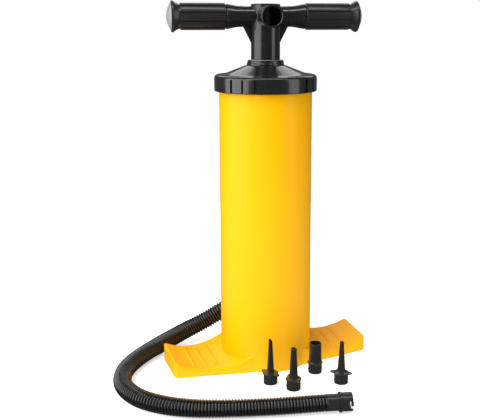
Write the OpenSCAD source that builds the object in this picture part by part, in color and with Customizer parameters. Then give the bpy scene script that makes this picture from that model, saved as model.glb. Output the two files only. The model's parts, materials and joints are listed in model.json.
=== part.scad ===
// Double action hand pump: a barrel on two foot wings, a hollow piston rod with a T handle,
// valves that fill and empty the cylinder on both strokes, a corrugated hose and four nozzles.
// The origin is on the floor under the barrel's axis, +X runs along the foot wings to the
// user's right, and +Y runs to the rear, where the hose leaves.

/* [Barrel] */
// Outer radius of the barrel
barrel_r = 53.5; // [48:0.5:64]
// Wall thickness of the barrel
barrel_wall = 2.2; // [1.8:0.1:3]
// Height of the barrel's top rim above the floor
barrel_h = 338; // [250:1:420]
// Height of the upper face of the deck that closes the cylinder's lower end
deck_top = 25; // [24:0.5:36]
// Thickness of the deck
deck_t = 3; // [2:0.5:4]
// Width of the air duct between the barrel and the liner
duct_gap = 3; // [2.4:0.1:5]
// Wall thickness of the cylinder liner
liner_wall = 1.5; // [1.2:0.1:3]

/* [Foot wings] */
// Distance from the barrel's axis to the end of a foot wing
foot_reach = 122.5; // [105:0.5:150]
// Half width of a wing at its end
foot_end_half_w = 30; // [22:1:40]
// Half width of a wing where it meets the barrel
foot_root_half_w = 46.5; // [40:0.5:48]
// Height of the lip at the end of a wing
foot_lip_h = 20.5; // [17:0.5:26]
// Height of the tread at its lowest line
tread_low_h = 8.5; // [7:0.5:12]
// Distance from the barrel's axis to the tread's lowest line
tread_x = 80; // [76:1:90]
// Slope of the treads, in degrees, which fall a little towards the user
tread_tilt = 2.9; // [0:0.1:4]
// Wall thickness of the wings
foot_wall = 2.4; // [1.6:0.1:3]
// Number of grip ridges across each tread
ridge_count = 3; // [1:1:4]
// Spacing of the ridges
ridge_pitch = 13.5; // [8:0.5:14]
// Height of a ridge
ridge_h = 1.2; // [0.4:0.1:1.5]

/* [Cap] */
// Radial wall of the cap's skirt outside its fit on the barrel
cap_skirt_t = 4.8; // [4:0.1:7]
// Height of the cap's skirt below the barrel's rim
cap_skirt_drop = 12; // [10:0.5:20]
// Height of the cap's cone above its shoulder
cap_cone_h = 8.5; // [6:0.5:20]
// Thickness of the cap's top
cap_t = 2.4; // [1.8:0.1:3.5]
// Depth of the grip grooves in the skirt
cap_groove_d = 2.4; // [0.8:0.1:2.6]
// Width of the grip grooves
cap_groove_w = 2.3; // [1.5:0.1:4]

/* [Piston rod] */
// Outer radius of the hollow rod
rod_r = 16; // [13:0.5:19]
// Wall thickness of the rod
rod_wall = 2.2; // [1.8:0.1:3]
// Thickness of each piston disc
piston_disc_t = 3.5; // [3:0.5:5]
// Height of the air space between the discs
plenum_h = 9; // [7:0.5:14]

/* [Valves] */
// Thickness of a rubber valve flap
flap_t = 1.5; // [1:0.1:2.5]
// Lift of a valve flap
flap_lift = 2; // [1:0.5:3]

/* [Handle] */
// Turn of the handle about the rod at rest
handle_turn = -10; // [-90:1:90]
// Gap between the rod's guide collar and the handle's column when the plunger is down
handle_gap = 0.5; // [0.5:0.5:30]
// Height from the column's lower end to the axis of the arms
column_h = 47.5; // [40:0.5:80]
// Radius of the handle's arms
arm_r = 11.25; // [9:0.25:12]
// Distance from the rod's axis to the inner end of a grip
grip_in = 45; // [36:1:60]
// Length of the ribbed part of a grip
grip_len = 52; // [40:1:80]
// Outer radius of a grip
grip_r = 14.8; // [13:0.1:18]
// Outer radius of the flange at a grip's end
grip_flange_r = 17.2; // [15:0.1:22]
// Number of lengthwise grooves in a grip
grip_grooves = 10; // [6:1:16]

/* [Air ports] */
// Radius of the bore of the intake port and of the outlet socket
port_bore_r = 10.2; // [9.8:0.1:10.6]
// Wall thickness of the intake port and of the outlet socket
port_wall = 2.1; // [1.6:0.1:2.6]
// Distance from the rod's axis to the mouth of the intake port
port_reach = 46; // [36:1:60]
// Height of the outlet above the floor
outlet_h = 43.5; // [39:0.5:60]

/* [Hose and nozzles] */
// Outer radius of the hose over its ribs
hose_r = 10.2; // [9:0.1:10.4]
// Outer radius of a nozzle's base
nozzle_base_r = 8; // [7.4:0.1:8.2]
// Height of a nozzle's base
nozzle_base_h = 12; // [9:0.5:16]
// Wall thickness of a nozzle
nozzle_wall = 1.2; // [0.8:0.1:1.3]

/* [Hidden] */
$fn = 96;

// Clearances
run_gap = 0.05;
fit_gap = 0.15;
seat_gap = 0.3;
cut = 1;

// Barrel and liner
barrel_in_r = barrel_r - barrel_wall;
liner_out_r = barrel_in_r - duct_gap;
liner_in_r = liner_out_r - liner_wall;
duct_r = (barrel_in_r + liner_out_r) / 2;
deck_bottom = deck_top - deck_t;
duct_hole_r = 1.1;
duct_hole_count = 24;

// Foot wings: the tread is a trough whose axis runs across the wing
tread_run = foot_reach - tread_x;
tread_rise = foot_lip_h - tread_low_h;
tread_r = (tread_run * tread_run + tread_rise * tread_rise) / (2 * tread_rise);
foot_root_x = barrel_r * 0.47;
foot_corner = 4;
ridge_w = 4;
ridge_margin = 9;

// Bottom cover and its screws
cover_t = 4;
cover_r = barrel_in_r - fit_gap;
cover_top = cover_t;
cover_screw_ring_r = liner_in_r - 5;
cover_screw_count = 4;
cover_boss_r = 4;
screw_r = 1.7;
screw_hole_r = screw_r + fit_gap;
screw_head_r = 3.2;
screw_head_t = 1.8;
screw_seat_z = 2.2;
screw_bite = 9;
seal_r = 1.2;

// Valve flaps and the ports that they cover
flap_play = seat_gap + flap_t + flap_lift;
lip_t = 1.5;
lip_reach = 3.5;
deck_boss_r = 7;
deck_flap_out_r = 24;
deck_port_r = 3.2;
deck_port_ring_r = 15.5;
deck_port_count = 8;

// Piston, from the lowest face upwards
piston_clear = 2;
piston_hub_r = rod_r + 4;
lower_lip_z = deck_top + piston_clear;
lower_disc_z = lower_lip_z + lip_t + flap_play;
plenum_z = lower_disc_z + piston_disc_t;
upper_disc_z = plenum_z + plenum_h;
upper_disc_top = upper_disc_z + piston_disc_t;
upper_lip_z = upper_disc_top + flap_play;
piston_r = liner_in_r - 0.9;
skirt_r = piston_r - 6;
skirt_t = 2;
ring_r = liner_in_r - run_gap;
piston_port_r = 2.8;
piston_port_ring_r = piston_hub_r + flap_t + 5;
piston_port_count = 12;
flap_in_r = piston_hub_r + 0.6;
flap_out_r = piston_port_ring_r + 5.2;
pillar_r = 3;
pillar_ring_r = skirt_r - skirt_t - pillar_r - 0.5;
pillar_count = 3;
piston_screw_r = 1.3;
piston_screw_head_r = 2.4;

// Rod
rod_bore_r = rod_r - 2 * rod_wall - 0.4;
spigot_r = rod_r - rod_wall - 0.1;
rod_low_z = plenum_z + 2;
rod_nut_t = 4;

// Cylinder head and cap
head_t = 3;
head_seal_t = 1;
head_z = barrel_h + head_seal_t;
head_top = head_z + head_t;
liner_top = head_z - 2;
head_r = barrel_r - 0.3;
tower_in_r = rod_r + 3.2;
tower_r = tower_in_r + 2.8;
tower_h = 5;
head_port_ring_r = tower_r + 6;
head_flap_in_r = tower_r + 0.6;
head_flap_out_r = head_port_ring_r + 5.2;
cap_in_r = barrel_r + 0.5;
cap_r = cap_in_r + cap_skirt_t;
cap_low_z = barrel_h - cap_skirt_drop;
cap_shoulder_z = head_top + cap_t;
cap_edge_r = 4;
cone_low_r = barrel_r - 8.2;
cone_top_r = rod_r + 7.6;
cone_top_z = cap_shoulder_z + 1.6 + cap_cone_h;
cap_hole_r = rod_r + 2.6;
groove_step = 14.6;

// Guide bush
collar_h = 6;
collar_r = rod_r + 4.8;
bush_r = cap_hole_r - fit_gap;
bush_low_z = head_top + tower_h;
collar_top = cone_top_z + collar_h;

// Handle
column_r = rod_r + 0.5;
column_z = collar_top + handle_gap;
arm_z = column_z + column_h;
column_top = arm_z + arm_r + 1.2;
column_bore_r = spigot_r + 0.1;
spigot_len = 22;
column_cap_t = 3;
arm_cone_x = grip_in - 15;
core_r = 9;
core_bore_r = 6.5;
core_end = grip_in + grip_len + 4;
flange_x = grip_in + grip_len;
flange_end = flange_x + 9;
grip_cap_r = grip_flange_r - 1.8;
grip_dome_h = 5;
grip_groove_w = 1.5;
grip_groove_d = 1.2;
gusset_t = 4;
gusset_drop = 19.5;
gusset_run = 10;
handle_screw_z = column_z + spigot_len / 2;
port_r = port_bore_r + port_wall;

// Outlet at the rear: a duct that runs to the left along the back of the barrel
outlet_y = barrel_r + 14;
outlet_boss_r = port_r + 2.2;
outlet_x = 12;
outlet_boss_len = 26;
socket_depth = 12;
socket_out = 8;
socket_x = outlet_x - socket_out;
plug_r = port_bore_r - fit_gap;
plug_flange_t = 3;
plug_sleeve_len = 10;
hose_start_x = socket_x - plug_flange_t - plug_sleeve_len;

// Route of the hose's centre line, from the plug to the free end
hose_lie = hose_r + 0.3;
HOSE_ROUTE = [
    [hose_start_x, outlet_y, outlet_h],
    [-21.5, 67.5, 42.4],
    [-33.8, 67.6, 39],
    [-45.8, 67.8, 33.4],
    [-58.2, 68, 27.6],
    [-71.4, 67.4, 22.4],
    [-86, 65, 18],
    [-101, 59.9, 14.2],
    [-116.5, 51.8, 11.8],
    [-131, 41, 10.8],
    [-145, 28.5, hose_lie],
    [-158, 15, hose_lie],
    [-169, 1, hose_lie],
    [-178, -15, hose_lie],
    [-183.5, -33, hose_lie],
    [-184.5, -52, hose_lie],
    [-180.5, -70, hose_lie],
    [-172.5, -87, hose_lie],
    [-160, -102, hose_lie],
    [-143, -116, hose_lie],
    [-120, -128.5, hose_lie],
    [-92, -138.5, hose_lie],
    [-64, -146.5, hose_lie],
    [-36, -153.5, 10.7],
    [-8, -159.5, 11]
];
HOSE_SIDES = 12;
cuff_at = [10, -163.4, 11.2];
cuff_angle = -13;
CUFF_AXIS = [cos(cuff_angle), sin(cuff_angle), 0];

// Free end of the hose
cuff_sleeve_len = 15;
cuff_bell_len = 12;
cuff_bell_r = nozzle_base_r + 2;
cuff_bore_r = nozzle_base_r + 0.2;
cuff_rim_r = cuff_bell_r + 1;
cuff_rim_t = 1.6;
slot_w = 4.4;
slot_len = 5.2;
hook_w = 4.1;
hook_t = 2.9;
lug_h = 2.4;
lug_w = 3;
lug_out = 4.2;

// Where the loose nozzles stand
NEEDLE_AT = [-21.7, -77.1];
PINCH_AT = [-2.5, -100.1];
WIDE_AT = [37.8, -67.8];
SLIM_AT = [55, -103.4];

// Helpers -----------------------------------------------------------------------------------

// A round wall about the Z axis
module pipe(r_out, r_in, z0, z1) {
    translate([0, 0, z0])
        difference() {
            cylinder(r = r_out, h = z1 - z0);
            translate([0, 0, -cut]) cylinder(r = r_in, h = z1 - z0 + 2 * cut);
        }
}

// A solid disc about the Z axis
module disc(r, z0, z1) {
    translate([0, 0, z0]) cylinder(r = r, h = z1 - z0);
}

// Copies of the children, evenly spaced on a circle
module around(count, r, first = 0) {
    for (i = [0 : count - 1])
        rotate([0, 0, first + i * 360 / count])
            translate([r, 0, 0]) children();
}

// A bar along X
module bar(r, x0, x1) {
    translate([x0, 0, 0]) rotate([0, 90, 0]) cylinder(r = r, h = x1 - x0);
}

// Barrel ------------------------------------------------------------------------------------

// Outline of both wings seen from above, drawn in by the given wall
module wing_outline(wall) {
    end = foot_reach - wall;
    half = foot_end_half_w - wall;
    root = foot_root_half_w - wall;
    corner = foot_corner;
    polygon([
        [-end, -half + corner], [-end + corner, -half - 0.5], [-foot_root_x, -root],
        [foot_root_x, -root], [end - corner, -half - 0.5], [end, -half + corner],
        [end, half - corner], [end - corner, half + 0.5], [foot_root_x, root],
        [-foot_root_x, root], [-end + corner, half + 0.5], [-end, half - corner]
    ]);
}

// Trough that hollows the treads, on both sides
module tread_trough(r) {
    for (side = [-1, 1])
        translate([side * tread_x, 0, tread_low_h + tread_r])
            rotate([90 + tread_tilt, 0, 0])
                cylinder(r = r, h = 4 * barrel_r, center = true, $fn = 180);
}

module wing_shell() {
    difference() {
        linear_extrude(height = foot_lip_h + 3) wing_outline(0);
        tread_trough(tread_r);
        // The underside is hollow
        difference() {
            translate([0, 0, -cut]) linear_extrude(height = foot_lip_h + cut) wing_outline(foot_wall);
            tread_trough(tread_r + foot_wall);
            disc(barrel_r, -2 * cut, barrel_h);
        }
    }
}

module tread_ridges() {
    intersection() {
        linear_extrude(height = foot_lip_h + 3) wing_outline(ridge_margin);
        difference() {
            union()
                for (side = [-1, 1])
                    for (i = [0 : ridge_count - 1])
                        translate([side * (tread_x + 4 + (i - (ridge_count - 1) / 2) * ridge_pitch)
                            - ridge_w / 2, -foot_root_half_w, 0])
                            cube([ridge_w, 2 * foot_root_half_w, foot_lip_h]);
            tread_trough(tread_r - ridge_h);
        }
        tread_trough(tread_r + foot_wall / 2);
    }
}

module outlet_duct() {
    translate([0, outlet_y, outlet_h]) bar(outlet_boss_r, outlet_x, outlet_x + outlet_boss_len);
    translate([outlet_x, barrel_in_r * 0.75, outlet_h - outlet_boss_r + 3])
        cube([outlet_boss_len, outlet_y - barrel_in_r * 0.75, 2 * outlet_boss_r - 6]);
}

module barrel() {
    color("gold")
        union() {
            difference() {
                union() {
                    disc(barrel_r, 0, barrel_h);
                    wing_shell();
                    outlet_duct();
                }
                disc(barrel_in_r, -cut, deck_bottom);
                disc(barrel_in_r, deck_top, barrel_h + cut);
                around(duct_hole_count, duct_r) disc(duct_hole_r, 0, deck_top + cut);
                around(deck_port_count, deck_port_ring_r) disc(deck_port_r, 0, deck_top + cut);
                // The duct's bore and its way in from the air space round the liner
                translate([0, outlet_y, outlet_h])
                    bar(port_r + fit_gap, outlet_x - cut, outlet_x + socket_depth);
                translate([0, outlet_y, outlet_h])
                    bar(port_bore_r, outlet_x, outlet_x + outlet_boss_len - barrel_wall);
                translate([outlet_x + socket_depth, liner_out_r * 0.8, outlet_h - 7])
                    cube([outlet_boss_len - socket_depth - barrel_wall, outlet_y - liner_out_r * 0.8, 14]);
            }
            tread_ridges();
            // Hub that holds the lower valve flap
            disc(deck_boss_r, deck_bottom - flap_play - lip_t, deck_bottom + cut);
            disc(deck_boss_r + lip_reach, deck_bottom - flap_play - lip_t, deck_bottom - flap_play);
            // Bosses for the cover's screws
            around(cover_screw_count, cover_screw_ring_r, 45)
                pipe(cover_boss_r, screw_hole_r, cover_top, deck_bottom);
        }
}

// The sleeve that the piston runs in
module cylinder_liner() {
    color("whitesmoke") pipe(liner_out_r, liner_in_r, deck_top, liner_top);
}

// Bottom cover ------------------------------------------------------------------------------

module bottom_cover() {
    color("dimgray")
        difference() {
            union() {
                disc(cover_r, 0, cover_top);
                pipe(cover_r, cover_r - 3.6, cover_top - cut, cover_top + 4);
            }
            // Groove for the seal
            translate([0, 0, cover_top + 1]) pipe(cover_r + cut, cover_r - 2 * seal_r - 0.1, -seal_r, seal_r);
            around(cover_screw_count, cover_screw_ring_r, 45) disc(screw_hole_r, -cut, cover_top + cut);
            around(cover_screw_count, cover_screw_ring_r, 45) disc(screw_head_r + fit_gap, -cut, screw_seat_z);
            around(cover_screw_count, cover_screw_ring_r, 45)
                disc(cover_boss_r + fit_gap, cover_top, cover_top + 5);
        }
}

module cover_seal() {
    color("black")
        rotate_extrude()
            translate([cover_r - seal_r + fit_gap / 2, cover_top + 1]) circle(r = seal_r - fit_gap / 2, $fn = 32);
}

module cover_screws() {
    color("silver")
        around(cover_screw_count, cover_screw_ring_r, 45)
            union() {
                disc(screw_head_r, screw_seat_z - screw_head_t, screw_seat_z);
                disc(screw_r, screw_seat_z - cut, cover_top + screw_bite);
            }
}

module bottom_flap() {
    color("black")
        pipe(deck_flap_out_r, deck_boss_r + 0.6, deck_bottom - seat_gap - flap_t, deck_bottom - seat_gap);
}

// Cylinder head -----------------------------------------------------------------------------

module head_plate() {
    color("dimgray")
        difference() {
            union() {
                disc(head_r, head_z, head_top);
                pipe(liner_in_r - fit_gap, liner_in_r - 2.4, head_z - 6, head_z + cut);
                disc(tower_r, head_z, head_top + tower_h);
            }
            disc(tower_in_r, head_top, head_top + tower_h + cut);
            disc(rod_r + 0.6, head_z - cut, head_top + cut);
            around(piston_port_count, head_port_ring_r) disc(piston_port_r, head_z - cut, head_top + cut);
            around(duct_hole_count, duct_r) disc(duct_hole_r, head_z - cut, head_top + cut);
        }
}

module head_seal() {
    color("black") pipe(barrel_r - 0.3, barrel_in_r + 0.1, barrel_h, head_z);
}

module head_flap() {
    color("black") pipe(head_flap_out_r, head_flap_in_r, head_top + seat_gap, head_top + seat_gap + flap_t);
}

// The lip seal round the rod, held in the head's tower
module rod_seal() {
    color("black") pipe(tower_in_r - run_gap, rod_r + run_gap, head_top, bush_low_z);
}

// Guide of the rod, with the collar that shows on top of the cap
module rod_bush() {
    color("dimgray")
        difference() {
            union() {
                disc(bush_r, bush_low_z, cone_top_z + cut);
                translate([0, 0, cone_top_z])
                    cylinder(r1 = collar_r + 0.6, r2 = collar_r, h = collar_h);
            }
            disc(rod_r + run_gap, bush_low_z - cut, collar_top + cut);
        }
}

module cap() {
    color("dimgray")
        difference() {
            rotate_extrude()
                polygon(concat(
                    [[cap_in_r, cap_low_z], [cap_r - 1, cap_low_z], [cap_r, cap_low_z + 1]],
                    [for (a = [0 : 15 : 90])
                        [cap_r - cap_edge_r + cap_edge_r * cos(a), cap_shoulder_z - cap_edge_r + cap_edge_r * sin(a)]],
                    [
                        [cone_low_r, cap_shoulder_z + 1.6],
                        [cone_top_r, cone_top_z],
                        [cap_hole_r, cone_top_z],
                        [cap_hole_r, cone_top_z - cap_t],
                        [cone_top_r - 1, cone_top_z - cap_t],
                        [cone_low_r - 1, cap_shoulder_z - cap_t + 1.6],
                        [barrel_in_r, head_top + 0.8],
                        [barrel_in_r, head_top],
                        [cap_in_r, head_top]
                    ]
                ));
            // Four groups of three grip grooves
            for (group = [45 : 90 : 315])
                for (i = [-1 : 1])
                    rotate([0, 0, group + i * groove_step])
                        translate([cap_r - cap_groove_d, -cap_groove_w / 2, cap_low_z - cut])
                            cube([cap_groove_d + cut, cap_groove_w, cap_shoulder_z - cap_edge_r - cap_low_z + cut]);
        }
}

// Plunger -----------------------------------------------------------------------------------

module piston_rod() {
    color("dimgray")
        rotate([0, 0, handle_turn])
            difference() {
                union() {
                    disc(spigot_r, rod_low_z, column_z + spigot_len);
                    disc(piston_hub_r, upper_disc_top, upper_lip_z + cut);
                    disc(piston_hub_r + lip_reach, upper_lip_z, upper_lip_z + lip_t);
                    disc(rod_r, upper_disc_top, column_z);
                }
                disc(rod_bore_r, rod_low_z - cut, column_z + spigot_len + cut);
                disc(rod_r - rod_wall, upper_lip_z + lip_t, column_z - 4);
                translate([0, rod_r, handle_screw_z]) rotate([90, 0, 0])
                    cylinder(r = screw_hole_r, h = rod_r);
            }
}

// The ring nut that clamps the upper disc to the rod
module rod_nut() {
    color("dimgray")
        difference() {
            disc(piston_hub_r - 0.6, upper_disc_z - rod_nut_t, upper_disc_z);
            disc(spigot_r + run_gap, upper_disc_z - rod_nut_t - cut, upper_disc_z + cut);
            around(6, piston_hub_r - 0.6) disc(1.6, upper_disc_z - rod_nut_t - cut, upper_disc_z + cut);
        }
}

module piston_upper() {
    color("whitesmoke")
        difference() {
            union() {
                disc(piston_r, upper_disc_z, upper_disc_top);
                pipe(skirt_r, skirt_r - skirt_t, plenum_z, upper_disc_z + cut);
                around(pillar_count, pillar_ring_r, 30) disc(pillar_r, plenum_z, upper_disc_z + cut);
            }
            disc(spigot_r + run_gap, upper_disc_z - cut, upper_disc_top + cut);
            around(piston_port_count, piston_port_ring_r, 180 / piston_port_count)
                disc(piston_port_r, upper_disc_z - cut, upper_disc_top + cut);
            around(pillar_count, pillar_ring_r, 30) disc(piston_screw_r + fit_gap, plenum_z - cut, upper_disc_z + cut);
        }
}

module piston_lower() {
    color("whitesmoke")
        difference() {
            union() {
                disc(piston_r, lower_disc_z, plenum_z);
                disc(piston_hub_r, lower_lip_z, plenum_z);
                disc(piston_hub_r + lip_reach, lower_lip_z, lower_lip_z + lip_t);
            }
            around(piston_port_count, piston_port_ring_r, 180 / piston_port_count)
                disc(piston_port_r, lower_disc_z - cut, plenum_z + cut);
            around(pillar_count, pillar_ring_r, 30) disc(piston_screw_r + fit_gap, lower_disc_z - cut, plenum_z + cut);
            around(pillar_count, pillar_ring_r, 30)
                disc(piston_screw_head_r + fit_gap, lower_disc_z - cut, lower_disc_z + 1.5);
        }
}

module piston_ring() {
    color("black") pipe(ring_r, skirt_r + seat_gap, plenum_z + seat_gap, upper_disc_z - seat_gap);
}

module upper_flap() {
    color("black") pipe(flap_out_r, flap_in_r, upper_disc_top + seat_gap, upper_disc_top + seat_gap + flap_t);
}

module lower_flap() {
    color("black") pipe(flap_out_r, flap_in_r, lower_disc_z - seat_gap - flap_t, lower_disc_z - seat_gap);
}

module piston_screws() {
    color("silver")
        around(pillar_count, pillar_ring_r, 30)
            union() {
                disc(piston_screw_head_r, lower_disc_z + 0.1, lower_disc_z + 1.5);
                disc(piston_screw_r, lower_disc_z + 1, upper_disc_z - 1);
            }
}

// Handle ------------------------------------------------------------------------------------

// Outline of one arm, turned about its own axis: a straight root, a cone and the grip's core
module arm_profile() {
    polygon([
        [0, 0], [arm_r, 0], [arm_r, arm_cone_x], [grip_r - 1, grip_in - 1], [grip_r - 1, grip_in],
        [core_r, grip_in], [core_r, core_end], [0, core_end]
    ]);
}

module both_arms() {
    translate([0, 0, arm_z])
        for (side = [-90, 90])
            rotate([0, side, 0]) rotate_extrude() arm_profile();
}

module gussets() {
    for (side = [0, 180])
        rotate([0, 0, side])
            translate([0, gusset_t / 2, 0])
                rotate([90, 0, 0])
                    linear_extrude(height = gusset_t)
                        polygon([
                            [column_r - 1, arm_z - arm_r + 1], [column_r + gusset_run, arm_z - arm_r + 1],
                            [column_r + gusset_run, arm_z - arm_r], [column_r, arm_z - arm_r - gusset_drop],
                            [column_r - 1, arm_z - arm_r - gusset_drop]
                        ]);
}

module handle() {
    color("dimgray")
        rotate([0, 0, handle_turn])
            difference() {
                union() {
                    disc(column_r, column_z, column_top);
                    both_arms();
                    gussets();
                    translate([0, 0, arm_z]) rotate([90, 0, 0]) cylinder(r = port_r, h = port_reach);
                    // Two lugs beside the port
                    translate([-port_r - 2.4, -port_reach + 14, arm_z - 4]) cube([2 * port_r + 4.8, 6, 8]);
                }
                disc(column_bore_r, column_z - cut, column_top - column_cap_t);
                translate([0, 0, arm_z]) rotate([90, 0, 0]) cylinder(r = port_bore_r, h = port_reach + cut);
                for (side = [0, 180])
                    rotate([0, 0, side])
                        translate([0, 0, arm_z]) bar(core_bore_r, rod_r + 6, core_end + cut);
                translate([0, column_r + cut, handle_screw_z]) rotate([90, 0, 0])
                    cylinder(r = screw_hole_r, h = rod_r);
            }
}

module handle_screw() {
    color("silver")
        rotate([0, 0, handle_turn])
            translate([0, column_r, handle_screw_z])
                rotate([90, 0, 0])
                    union() {
                        translate([0, 0, -2.2]) cylinder(r = 3.6, h = 2.2);
                        cylinder(r = screw_r, h = column_r - rod_bore_r - 0.5);
                    }
}

module grip(side) {
    color("darkslategray")
        rotate([0, 0, handle_turn + side])
            translate([0, 0, arm_z])
                difference() {
                    rotate([0, 90, 0])
                        rotate_extrude()
                            polygon([
                                [core_r + 0.1, grip_in], [grip_r - 0.8, grip_in], [grip_r, grip_in + 1.5],
                                [grip_r, flange_x - 2], [grip_r - 1, flange_x], [grip_flange_r, flange_end - 2.5],
                                [grip_flange_r, flange_end], [grip_cap_r, flange_end],
                                [grip_cap_r, flange_end - 2], [core_r + 0.1, flange_end - 2]
                            ]);
                    for (i = [0 : grip_grooves - 1])
                        rotate([i * 360 / grip_grooves, 0, 0])
                            translate([grip_in + 3, -grip_groove_w / 2, grip_r - grip_groove_d])
                                cube([grip_len - 6, grip_groove_w, 2 * grip_groove_d]);
                }
}

module grip_left() {
    grip(180);
}

module grip_right() {
    grip(0);
}

// Domed plug that closes the end of a grip
module grip_cap(side) {
    inner_r = grip_cap_r - 0.1;
    dome_r = (inner_r * inner_r + grip_dome_h * grip_dome_h) / (2 * grip_dome_h);
    dome_half = asin(inner_r / dome_r);
    stem_r = core_bore_r - 0.1;
    color("silver")
        rotate([0, 0, handle_turn + side])
            translate([0, 0, arm_z])
                rotate([0, 90, 0])
                    rotate_extrude()
                        polygon(concat(
                            [
                                [0, core_end - 12], [stem_r, core_end - 12],
                                [stem_r, flange_end - 2 + fit_gap], [inner_r, flange_end - 2 + fit_gap]
                            ],
                            [for (step = [10 : -1 : 0])
                                [dome_r * sin(dome_half * step / 10),
                                    flange_end + grip_dome_h - dome_r + dome_r * cos(dome_half * step / 10)]]
                        ));
}

module grip_cap_left() {
    grip_cap(180);
}

module grip_cap_right() {
    grip_cap(0);
}

// Outlet and hose ---------------------------------------------------------------------------

module outlet_socket() {
    color("dimgray")
        translate([0, outlet_y, outlet_h])
            difference() {
                union() {
                    bar(port_r, socket_x, outlet_x + socket_depth - 0.5);
                    bar(outlet_boss_r, outlet_x - 2.5, outlet_x);
                }
                bar(port_bore_r, socket_x - cut, outlet_x + socket_depth);
            }
}

// The hose's end fitting, pushed into the outlet socket
module hose_plug() {
    plug_end = outlet_x + socket_depth - 4;
    color("dimgray")
        translate([0, outlet_y, outlet_h])
            difference() {
                union() {
                    bar(plug_r, socket_x - cut, plug_end);
                    bar(port_r, socket_x - plug_flange_t, socket_x);
                    bar(hose_r + 1.2, hose_start_x, socket_x - cut);
                }
                bar(plug_r - 2, hose_start_x - cut, plug_end + cut);
            }
}

function unit(v) = v / norm(v);
function heading(path, i) = unit(path[min(i + 1, len(path) - 1)] - path[max(i - 1, 0)]);
function across(d) = unit(cross(d, [0, 0, 1]));
function ring_point(p, d, r, a) = p + r * cos(a) * across(d) + r * sin(a) * cross(across(d), d);

// A round tube along a path, as one closed shell
module swept_tube(path, r, sides) {
    rings = len(path);
    points = [
        for (i = [0 : rings - 1])
            for (k = [0 : sides - 1])
                ring_point(path[i], i == 0 ? [-1, 0, 0] : i == rings - 1 ? CUFF_AXIS : heading(path, i),
                    r, 360 * k / sides)
    ];
    walls = [
        for (i = [0 : rings - 2])
            for (k = [0 : sides - 1])
                let (a = i * sides + k, b = i * sides + (k + 1) % sides)
                each [[a, a + sides, b + sides], [a, b + sides, b]]
    ];
    near_end = [for (k = [0 : sides - 1]) k];
    far_end = [for (k = [sides - 1 : -1 : 0]) (rings - 1) * sides + k];
    polyhedron(points = points, faces = concat(walls, [near_end, far_end]));
}

module hose() {
    color("black") swept_tube(concat(HOSE_ROUTE, [cuff_at]), hose_r, HOSE_SIDES);
}

// The free end of the hose, which takes a nozzle with a quarter turn
module hose_cuff() {
    rim_x = cuff_sleeve_len;
    bell_x = cuff_sleeve_len + cuff_bell_len;
    color("dimgray")
        translate(cuff_at)
            rotate([0, 0, cuff_angle])
                difference() {
                    union() {
                        bar(nozzle_base_r + 1, 0, rim_x);
                        bar(cuff_rim_r, rim_x - cuff_rim_t, rim_x);
                        bar(cuff_bell_r, rim_x - cut, bell_x);
                    }
                    bar(nozzle_base_r - 1, -cut, rim_x);
                    bar(cuff_bore_r, rim_x - cut, bell_x + cut);
                    // Two hooked slots for the nozzle's lugs
                    for (turn = [108, 288])
                        rotate([turn, 0, 0])
                            union() {
                                translate([bell_x - slot_len, -slot_w / 2, 0])
                                    cube([slot_len + cut, slot_w, 2 * cuff_bell_r]);
                                translate([bell_x - slot_len, -slot_w / 2, cuff_bore_r * 0.5])
                                    cube([hook_t, slot_w + hook_w, 2 * cuff_bell_r]);
                            }
                }
}

// Nozzles -----------------------------------------------------------------------------------

// The cup at a nozzle's foot, with its two lugs and a hollow spout whose outline is a cone
module nozzle(spout_low_r, spout_top_r, top, bore_top_r) {
    difference() {
        union() {
            disc(nozzle_base_r, 0, nozzle_base_h);
            translate([0, 0, nozzle_base_h])
                cylinder(r1 = spout_low_r, r2 = spout_top_r, h = top - nozzle_base_h);
            translate([-nozzle_base_r - lug_out, -lug_w / 2, nozzle_base_h - lug_h])
                cube([2 * (nozzle_base_r + lug_out), lug_w, lug_h]);
        }
        disc(nozzle_base_r - nozzle_wall, -cut, nozzle_base_h - nozzle_wall);
        translate([0, 0, nozzle_base_h - nozzle_wall - cut / 2])
            cylinder(r1 = spout_low_r - nozzle_wall, r2 = bore_top_r, h = top - nozzle_base_h + nozzle_wall + cut);
    }
}

module nozzle_needle() {
    color("black")
        translate([NEEDLE_AT[0], NEEDLE_AT[1], 0])
            rotate([0, 0, -60])
                difference() {
                    nozzle(4.2, 2, 53.5, 1.1);
                    translate([0.6, 0, 50.5]) rotate([0, 45, 0]) translate([-10, -10, 0]) cube([20, 20, 10]);
                }
}

module nozzle_pinch() {
    color("black") translate([PINCH_AT[0], PINCH_AT[1], 0]) rotate([0, 0, -87]) nozzle(5, 3.2, 49, 2.1);
}

module nozzle_wide() {
    color("black") translate([WIDE_AT[0], WIDE_AT[1], 0]) rotate([0, 0, -92]) nozzle(7.5, 7, 36.5, 6);
}

module nozzle_slim() {
    color("black") translate([SLIM_AT[0], SLIM_AT[1], 0]) rotate([0, 0, -36]) nozzle(4.7, 2.2, 50, 1.2);
}

barrel();
cylinder_liner();
bottom_cover();
cover_seal();
cover_screws();
bottom_flap();
head_plate();
head_seal();
head_flap();
rod_seal();
rod_bush();
cap();
piston_rod();
rod_nut();
piston_upper();
piston_lower();
piston_ring();
upper_flap();
lower_flap();
piston_screws();
handle();
handle_screw();
grip_left();
grip_right();
grip_cap_left();
grip_cap_right();
outlet_socket();
hose_plug();
hose();
hose_cuff();
nozzle_needle();
nozzle_pinch();
nozzle_wide();
nozzle_slim();
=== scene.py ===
"""Double action hand pump: the visible pieces, their finishes and a plain studio stage."""

import json
import math

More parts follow.
